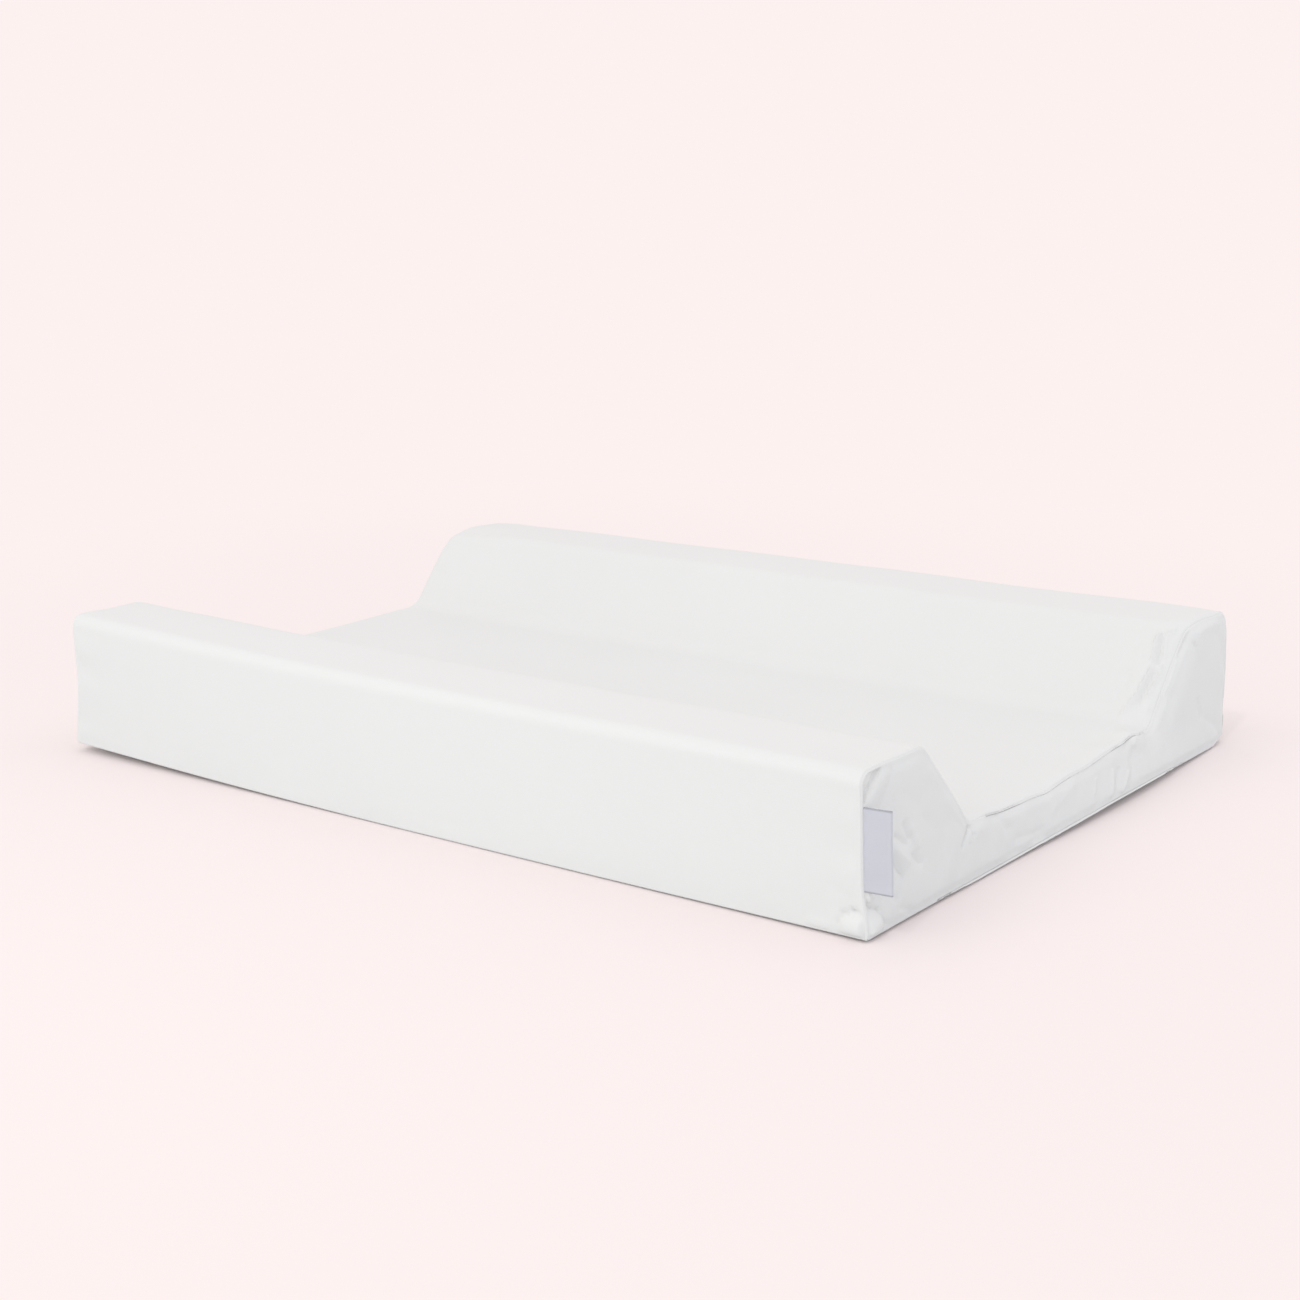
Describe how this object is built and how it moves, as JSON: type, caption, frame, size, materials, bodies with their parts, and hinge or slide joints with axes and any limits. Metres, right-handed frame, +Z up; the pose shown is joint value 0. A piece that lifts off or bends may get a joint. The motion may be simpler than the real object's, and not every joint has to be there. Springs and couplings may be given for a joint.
{
  "type": "changing pad",
  "caption": "Contoured baby changing pad: foam core with two raised side bolsters in a sewn, coated cover with a rear zip and a bare corner tag.",
  "frame": {"origin": "middle of the underside, on the surface that the pad rests on", "axes": "+X along the pad's length towards the end with the tag, +Y from the front wall to the rear wall with the zip, +Z up"},
  "size_m": [0.7672, 0.5045, 0.107],
  "materials": {
    "foam": "open-cell foam",
    "coated_cloth": "satin",
    "underside_cloth": "matt",
    "satin_ribbon": "satin",
    "zip_tape": "woven",
    "moulded_acetal": "gloss",
    "lacquered_zinc": "gloss"
  },
  "bodies": {
    "pad": {"foam_base_slab": "foam", "front_foam_bolster": "foam", "rear_foam_bolster": "foam", "cover_wrap_panel": "coated_cloth", "cover_base_panel": "underside_cloth", "cover_right_end_panel": "coated_cloth", "cover_left_end_panel": "coated_cloth", "corner_tag": "satin_ribbon", "upper_zip_tape": "zip_tape", "lower_zip_tape": "zip_tape", "upper_zip_teeth": "moulded_acetal", "lower_zip_teeth": "moulded_acetal", "zip_top_stops": "moulded_acetal", "zip_bottom_stop": "moulded_acetal"},
    "zip_slider": {"zip_slider": "lacquered_zinc"},
    "zip_pull": {"zip_pull": "lacquered_zinc"}
  },
  "joints": [
    {"name": "zip_travel", "type": "slide", "parent": "pad", "child": "zip_slider", "axis": [-1, 0, 0], "range_m": [0, 0.6796], "deforming": ["upper_zip_teeth", "lower_zip_teeth"]},
    {"name": "pull_swing", "type": "hinge", "parent": "zip_slider", "child": "zip_pull", "pos_m": [0.3378, 0.25225, 0.027], "axis": [0, 0, -1], "range_deg": [0, 180]}
  ]
}
